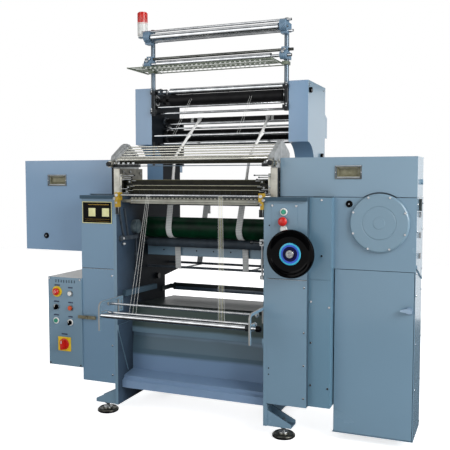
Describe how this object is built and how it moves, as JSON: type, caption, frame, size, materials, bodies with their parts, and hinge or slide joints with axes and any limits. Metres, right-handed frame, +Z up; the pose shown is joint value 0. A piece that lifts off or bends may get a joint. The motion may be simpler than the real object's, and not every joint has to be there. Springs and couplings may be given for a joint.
{
  "type": "crochet knitting machine",
  "caption": "Crochet knitting machine with blue-grey enamel frame, roller tower, thread mast, gear covers, side cabinet and front handwheel",
  "frame": {"origin": "centre of the footprint's bounding box at floor level", "axes": "+Z up, -Y is the operator's front, +X to the operator's right"},
  "size_m": [1.942, 0.905, 1.946],
  "materials": {
    "blue_enamel": "satin",
    "steel": "brushed",
    "chrome_plate": "polished",
    "cast_grey": "satin",
    "rubber_black": "matt",
    "rubber_green": "matt",
    "black_plastic": "gloss",
    "red_plastic": "gloss",
    "white_plastic": "gloss",
    "green_plastic": "gloss",
    "orange_plastic": "gloss",
    "yellow_plastic": "gloss",
    "brass_paint": "satin",
    "dark_sheet": "satin",
    "bronze_bar": "satin",
    "tape_cloth": "matt",
    "yarn": "matt",
    "name_black": "satin"
  },
  "bodies": {
    "frame": {"side_plate_left": "blue_enamel", "side_plate_right": "blue_enamel", "apron": "blue_enamel", "cross_beam": "blue_enamel", "fabric_table": "dark_sheet", "column_left": "blue_enamel", "column_right": "blue_enamel", "mid_panel": "blue_enamel", "panel_screws": "steel", "levelling_feet": "dark_sheet", "left_cabinet": "cast_grey", "right_cabinet": "blue_enamel", "round_cover": "blue_enamel", "name_plate": "name_black", "control_box": "blue_enamel", "button_bezels": "steel", "yellow_plates": "yellow_plastic", "drive_unit": "cast_grey", "guide_rods": "chrome_plate", "tray_brackets": "blue_enamel", "bar_brackets": "brass_paint", "head_blocks": "steel", "needle_bed": "steel", "guide_rack": "chrome_plate", "tower_left": "blue_enamel", "tower_right": "blue_enamel", "mast": "chrome_plate", "mast_clamps": "blue_enamel", "signal_lamp": "white_plastic", "tapes": "tape_cloth", "warp_threads": "yarn"},
    "handwheel": {"handwheel": "black_plastic"},
    "main_shaft": {"main_shaft": "steel"},
    "takedown_roller": {"takedown_roller": "rubber_green"},
    "nip_roller": {"nip_roller": "steel"},
    "feed_roller_top": {"feed_roller_top": "rubber_black"},
    "press_roller": {"press_roller": "chrome_plate"},
    "feed_roller_mid": {"feed_roller_mid": "rubber_black"},
    "feed_roller_low": {"feed_roller_low": "rubber_black"},
    "top_roller": {"top_roller": "chrome_plate"},
    "tray_roller": {"tray_roller": "chrome_plate"},
    "left_hood": {"left_hood": "blue_enamel"},
    "right_hood": {"right_hood": "blue_enamel"},
    "right_door": {"right_door": "blue_enamel"},
    "door_handle": {"door_handle": "blue_enamel"},
    "estop_button": {"estop_button": "red_plastic"},
    "jog_button": {"jog_button": "orange_plastic"},
    "stop_button": {"stop_button": "white_plastic"},
    "start_button": {"start_button": "green_plastic"},
    "selector_upper": {"selector_upper": "black_plastic"},
    "selector_lower": {"selector_lower": "black_plastic"},
    "main_switch": {"main_switch": "red_plastic"},
    "column_start": {"column_start": "green_plastic"},
    "column_stop": {"column_stop": "red_plastic"},
    "column_jog": {"column_jog": "white_plastic"},
    "needle_bar": {"needle_bar": "cast_grey"},
    "weft_bar_1": {"weft_bar_1": "bronze_bar"},
    "weft_bar_2": {"weft_bar_2": "bronze_bar"},
    "weft_bar_3": {"weft_bar_3": "bronze_bar"},
    "takedown_lever": {"takedown_lever": "black_plastic"}
  },
  "joints": [
    {"name": "handwheel_turn", "type": "hinge", "parent": "frame", "child": "handwheel", "pos_m": [0.4745, -0.3285, 0.805], "axis": [0, 1, 0], "continuous": true},
    {"name": "main_shaft_turn", "type": "hinge", "parent": "frame", "child": "main_shaft", "pos_m": [-0.0185, -0.1235, 1.004], "axis": [1, 0, 0], "continuous": true},
    {"name": "takedown_turn", "type": "hinge", "parent": "frame", "child": "takedown_roller", "pos_m": [-0.0185, -0.0385, 0.877], "axis": [1, 0, 0], "continuous": true},
    {"name": "nip_turn", "type": "hinge", "parent": "frame", "child": "nip_roller", "pos_m": [-0.0185, -0.0265, 0.80297], "axis": [1, 0, 0], "continuous": true},
    {"name": "feed_top_turn", "type": "hinge", "parent": "frame", "child": "feed_roller_top", "pos_m": [-0.0185, 0.0915, 1.506], "axis": [1, 0, 0], "continuous": true},
    {"name": "press_turn", "type": "hinge", "parent": "frame", "child": "press_roller", "pos_m": [-0.0185, 0.0865, 1.54831], "axis": [1, 0, 0], "continuous": true},
    {"name": "feed_mid_turn", "type": "hinge", "parent": "frame", "child": "feed_roller_mid", "pos_m": [-0.0185, 0.2115, 1.409], "axis": [1, 0, 0], "continuous": true},
    {"name": "feed_low_turn", "type": "hinge", "parent": "frame", "child": "feed_roller_low", "pos_m": [-0.0185, 0.2315, 1.335], "axis": [1, 0, 0], "continuous": true},
    {"name": "top_roller_turn", "type": "hinge", "parent": "frame", "child": "top_roller", "pos_m": [-0.0185, 0.0065, 1.805], "axis": [1, 0, 0], "continuous": true},
    {"name": "tray_roller_turn", "type": "hinge", "parent": "frame", "child": "tray_roller", "pos_m": [-0.0185, -0.4385, 0.505], "axis": [1, 0, 0], "continuous": true},
    {"name": "left_hood_flip", "type": "hinge", "parent": "frame", "child": "left_hood", "pos_m": [-0.7185, 0.0435, 1.191], "axis": [1, 0, 0], "range_deg": [-75, 0]},
    {"name": "right_hood_flip", "type": "hinge", "parent": "frame", "child": "right_hood", "pos_m": [0.6815, 0.0035, 1.191], "axis": [1, 0, 0], "range_deg": [-75, 0]},
    {"name": "door_swing", "type": "hinge", "parent": "frame", "child": "right_door", "pos_m": [0.6345, -0.2045, 0.4], "axis": [0, 0, 1], "range_deg": [-90, 0]},
    {"name": "handle_turn", "type": "hinge", "parent": "right_door", "child": "door_handle", "pos_m": [0.9365, -0.2105, 0.58], "axis": [0, 1, 0], "range_deg": [-90, 0]},
    {"name": "estop_press", "type": "slide", "parent": "frame", "child": "estop_button", "axis": [0, 1, 0], "range_m": [0, 0.004], "stiffness_N_per_m": 400},
    {"name": "jog_press", "type": "slide", "parent": "frame", "child": "jog_button", "axis": [0, 1, 0], "range_m": [0, 0.004], "stiffness_N_per_m": 400},
    {"name": "stop_press", "type": "slide", "parent": "frame", "child": "stop_button", "axis": [0, 1, 0], "range_m": [0, 0.004], "stiffness_N_per_m": 400},
    {"name": "start_press", "type": "slide", "parent": "frame", "child": "start_button", "axis": [0, 1, 0], "range_m": [0, 0.004], "stiffness_N_per_m": 400},
    {"name": "column_start_press", "type": "slide", "parent": "frame", "child": "column_start", "axis": [0, 1, 0], "range_m": [0, 0.004], "stiffness_N_per_m": 400},
    {"name": "column_stop_press", "type": "slide", "parent": "frame", "child": "column_stop", "axis": [0, 1, 0], "range_m": [0, 0.004], "stiffness_N_per_m": 400},
    {"name": "column_jog_press", "type": "slide", "parent": "frame", "child": "column_jog", "axis": [0, 1, 0], "range_m": [0, 0.004], "stiffness_N_per_m": 400},
    {"name": "selector_upper_turn", "type": "hinge", "parent": "frame", "child": "selector_upper", "pos_m": [-0.7135, -0.2955, 0.495], "axis": [0, 1, 0], "range_deg": [-45, 45]},
    {"name": "selector_lower_turn", "type": "hinge", "parent": "frame", "child": "selector_lower", "pos_m": [-0.6345, -0.2955, 0.424], "axis": [0, 1, 0], "range_deg": [-45, 45]},
    {"name": "main_switch_turn", "type": "hinge", "parent": "frame", "child": "main_switch", "pos_m": [-0.6705, -0.2955, 0.316], "axis": [0, 1, 0], "range_deg": [0, 90]},
    {"name": "needle_bar_stroke", "type": "slide", "parent": "frame", "child": "needle_bar", "axis": [0, 1, 0], "range_m": [-0.007, 0.007]},
    {"name": "weft_bar_1_shog", "type": "slide", "parent": "frame", "child": "weft_bar_1", "axis": [1, 0, 0], "range_m": [-0.008, 0.008]},
    {"name": "weft_bar_2_shog", "type": "slide", "parent": "frame", "child": "weft_bar_2", "axis": [1, 0, 0], "range_m": [-0.008, 0.008]},
    {"name": "weft_bar_3_shog", "type": "slide", "parent": "frame", "child": "weft_bar_3", "axis": [1, 0, 0], "range_m": [-0.008, 0.008]},
    {"name": "lever_swing", "type": "hinge", "parent": "frame", "child": "takedown_lever", "pos_m": [0.3315, -0.2885, 0.842], "axis": [0, 1, 0], "range_deg": [-35, 35]}
  ],
  "couplings": [
    {"joint": "handwheel_turn", "follows": "main_shaft_turn", "ratio": 1},
    {"joint": "nip_turn", "follows": "takedown_turn", "ratio": -2.1739},
    {"joint": "press_turn", "follows": "feed_top_turn", "ratio": -1.8}
  ]
}
